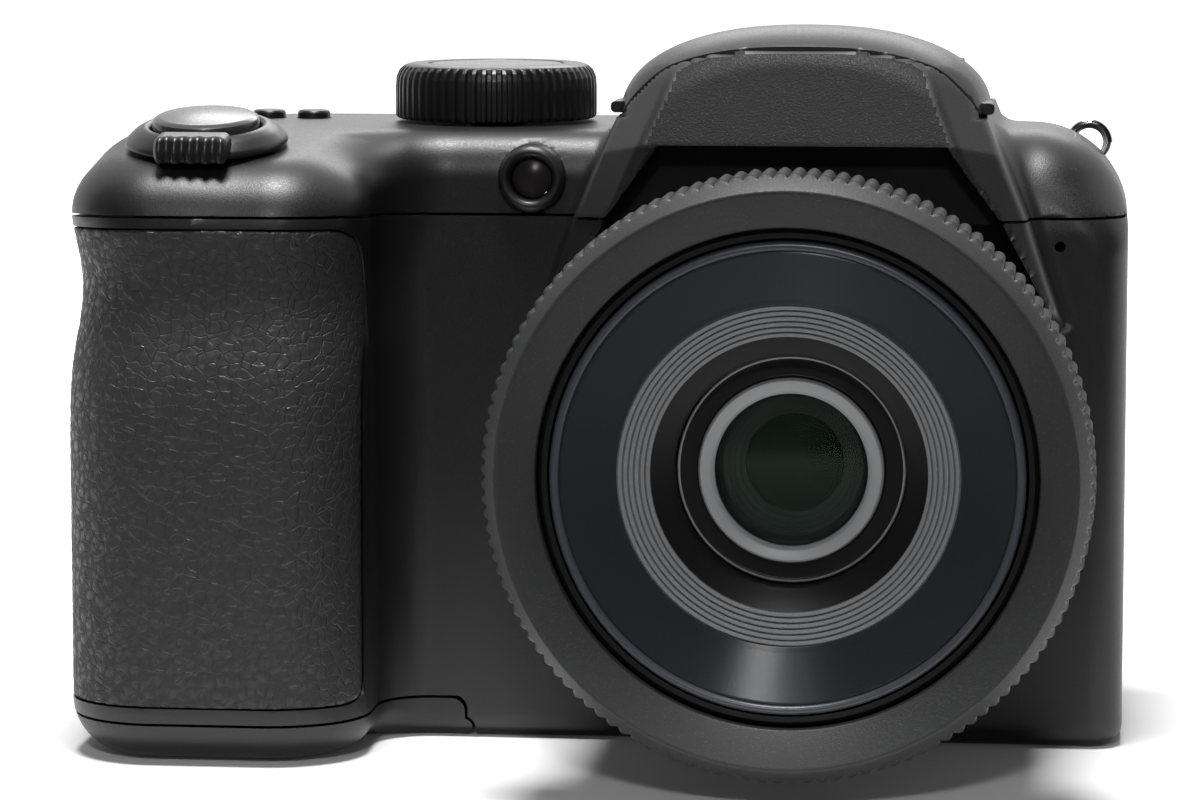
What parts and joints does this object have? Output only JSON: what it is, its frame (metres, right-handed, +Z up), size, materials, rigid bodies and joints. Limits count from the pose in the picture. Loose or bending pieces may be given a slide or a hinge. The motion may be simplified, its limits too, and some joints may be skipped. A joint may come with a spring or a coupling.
{
  "type": "bridge camera",
  "caption": "Compact bridge camera with a deep rubber grip, long retracting zoom lens, lift-up flash, mode dial, rear screen, keys and battery door.",
  "frame": {"origin": "centre of the tripod socket's mouth in the plane of the base", "axes": "+X to the right seen from the front, +Y to the back, +Z up; the lens looks along -Y"},
  "size_m": [0.12, 0.0751, 0.083],
  "materials": {
    "case_black": "fine-grain satin",
    "grip_rubber": "pebbled",
    "lens_black": "fine sparkle satin",
    "barrel_blue": "satin dark blue-grey",
    "ring_grey": "satin grey",
    "inner_black": "matt",
    "lamp_lens": "dark clear",
    "glass_dark": "polished",
    "front_glass": "coated",
    "screen": "polished",
    "board": "solder mask",
    "sheet_metal": "stamped",
    "steel": "turned",
    "chrome": "bright",
    "cell": "printed wrap",
    "card": "moulded",
    "button_black": "satin",
    "dial_top": "spun",
    "gear": "acetal",
    "flash_clear": "ribbed clear",
    "contact": "plated"
  },
  "bodies": {
    "camera_body": {"front_shell": "case_black", "rear_cover": "case_black", "top_cover": "case_black", "lens_shroud": "inner_black", "grip_rubber": "grip_rubber", "thumb_pad": "grip_rubber", "lens_tube": "lens_black", "lens_ring": "lens_black", "af_lamp_bezel": "case_black", "af_lamp_lens": "lamp_lens", "lcd_window": "glass_dark", "lcd_panel": "screen", "lcd_frame": "sheet_metal", "main_board": "board", "sensor_board": "board", "battery_tray": "inner_black", "battery_contacts": "contact", "battery_cells": "cell", "card_slot": "sheet_metal", "memory_card": "card", "usb_socket": "steel", "speaker": "inner_black", "flash_capacitor": "inner_black", "tripod_socket": "steel", "strap_lugs": "chrome", "body_screws": "steel", "gear_plate": "sheet_metal", "zoom_motor": "sheet_metal", "guide_rods": "steel", "hinge_pins": "steel", "key_board": "board"},
    "shutter": {"shutter_button": "button_black"},
    "lever": {"zoom_lever": "button_black"},
    "dial": {"mode_dial": "button_black", "dial_cap": "dial_top"},
    "power_key": {"power_button": "button_black"},
    "drive_key": {"drive_button": "button_black"},
    "flash": {"flash_lid": "case_black", "flash_head": "inner_black", "flash_window": "flash_clear"},
    "cam": {"cam_ring": "inner_black"},
    "middle": {"middle_barrel": "barrel_blue", "iris_unit": "inner_black"},
    "front": {"front_barrel": "barrel_blue", "front_bezel": "barrel_blue", "retaining_ring": "ring_grey", "front_glass": "front_glass"},
    "pinion": {"motor_pinion": "contact"},
    "idler": {"idler_gear": "gear"},
    "focus": {"focus_carrier": "inner_black", "focus_glass": "glass_dark"},
    "door": {"battery_door": "case_black"},
    "latch": {"door_latch": "button_black"},
    "port": {"port_cover": "grip_rubber"},
    "record_key": {"record_button": "button_black"},
    "menu_key": {"menu_button": "button_black"},
    "play_key": {"play_button": "button_black"},
    "pad": {"nav_pad": "button_black"},
    "cradle": {"nav_cradle": "inner_black"},
    "set_key": {"set_button": "button_black"}
  },
  "joints": [
    {"name": "shutter_press", "type": "slide", "parent": "camera_body", "child": "shutter", "axis": [0, 0.1564, -0.9877], "range_m": [0, 0.0012], "stiffness_N_per_m": 1000, "springref_m": -0.0006},
    {"name": "zoom_lever_turn", "type": "hinge", "parent": "camera_body", "child": "lever", "pos_m": [-0.06825, -0.024, 0.06992], "axis": [0, -0.1564, 0.9877], "range_deg": [-22, 22], "stiffness_Nm_per_rad": 0.02},
    {"name": "mode_dial_turn", "type": "hinge", "parent": "camera_body", "child": "dial", "pos_m": [-0.0382, 0.001, 0.0715], "axis": [0, 0, 1], "continuous": true},
    {"name": "power_press", "type": "slide", "parent": "camera_body", "child": "power_key", "axis": [0, 0, -1], "range_m": [0, 0.0006], "stiffness_N_per_m": 1666.7, "springref_m": -0.0003},
    {"name": "drive_press", "type": "slide", "parent": "camera_body", "child": "drive_key", "axis": [0, 0, -1], "range_m": [0, 0.0006], "stiffness_N_per_m": 1666.7, "springref_m": -0.0003},
    {"name": "flash_lift", "type": "hinge", "parent": "camera_body", "child": "flash", "pos_m": [0, 0.011, 0.07634], "axis": [-1, 0, 0], "range_deg": [0, 50]},
    {"name": "zoom_cam_turn", "type": "hinge", "parent": "camera_body", "child": "cam", "pos_m": [0, -0.009, 0.036], "axis": [0, -1, 0], "range_deg": [0, 100]},
    {"name": "middle_barrel_slide", "type": "slide", "parent": "camera_body", "child": "middle", "axis": [0, -1, 0], "range_m": [0, 0.02]},
    {"name": "front_barrel_slide", "type": "slide", "parent": "middle", "child": "front", "axis": [0, -1, 0], "range_m": [0, 0.018]},
    {"name": "idler_turn", "type": "hinge", "parent": "camera_body", "child": "idler", "pos_m": [-0.03756, -0.009, 0.036], "axis": [0, -1, 0], "range_deg": [-402, 2]},
    {"name": "pinion_turn", "type": "hinge", "parent": "camera_body", "child": "pinion", "pos_m": [-0.03991, -0.009, 0.04706], "axis": [0, -1, 0], "range_deg": [-2, 802]},
    {"name": "focus_slide", "type": "slide", "parent": "camera_body", "child": "focus", "axis": [0, 1, 0], "range_m": [-0.003, 0.004]},
    {"name": "door_hinge", "type": "hinge", "parent": "camera_body", "child": "door", "pos_m": [-0.04005, 0, 0.0011], "axis": [0, -1, 0], "range_deg": [0, 100]},
    {"name": "latch_slide", "type": "slide", "parent": "door", "child": "latch", "axis": [1, 0, 0], "range_m": [0, 0.0025]},
    {"name": "port_hinge", "type": "hinge", "parent": "camera_body", "child": "port", "pos_m": [0.03525, 0.008, 0.0245], "axis": [0, 0, 1], "range_deg": [0, 95]},
    {"name": "record_press", "type": "slide", "parent": "camera_body", "child": "record_key", "axis": [0, -1, 0], "range_m": [0, 0.0005], "stiffness_N_per_m": 2000, "springref_m": -0.00025},
    {"name": "menu_press", "type": "slide", "parent": "camera_body", "child": "menu_key", "axis": [0, -1, 0], "range_m": [0, 0.0005], "stiffness_N_per_m": 2000, "springref_m": -0.00025},
    {"name": "play_press", "type": "slide", "parent": "camera_body", "child": "play_key", "axis": [0, -1, 0], "range_m": [0, 0.0005], "stiffness_N_per_m": 2000, "springref_m": -0.00025},
    {"name": "pad_tilt_up_down", "type": "hinge", "parent": "camera_body", "child": "cradle", "pos_m": [-0.05645, 0.0138, 0.026], "axis": [1, 0, 0], "range_deg": [-2, 2], "stiffness_Nm_per_rad": 0.1},
    {"name": "pad_tilt_left_right", "type": "hinge", "parent": "cradle", "child": "pad", "pos_m": [-0.05645, 0.01445, 0.026], "axis": [0, 0, 1], "range_deg": [-2, 2], "stiffness_Nm_per_rad": 0.1},
    {"name": "set_press", "type": "slide", "parent": "camera_body", "child": "set_key", "axis": [0, -1, 0], "range_m": [0, 0.0005], "stiffness_N_per_m": 2000, "springref_m": -0.00025}
  ],
  "couplings": [
    {"joint": "front_barrel_slide", "follows": "middle_barrel_slide", "ratio": 0.8999},
    {"joint": "zoom_cam_turn", "follows": "middle_barrel_slide", "rad_per_m": 87.26},
    {"joint": "idler_turn", "follows": "middle_barrel_slide", "rad_per_m": -349.04},
    {"joint": "pinion_turn", "follows": "middle_barrel_slide", "rad_per_m": 698.08}
  ]
}
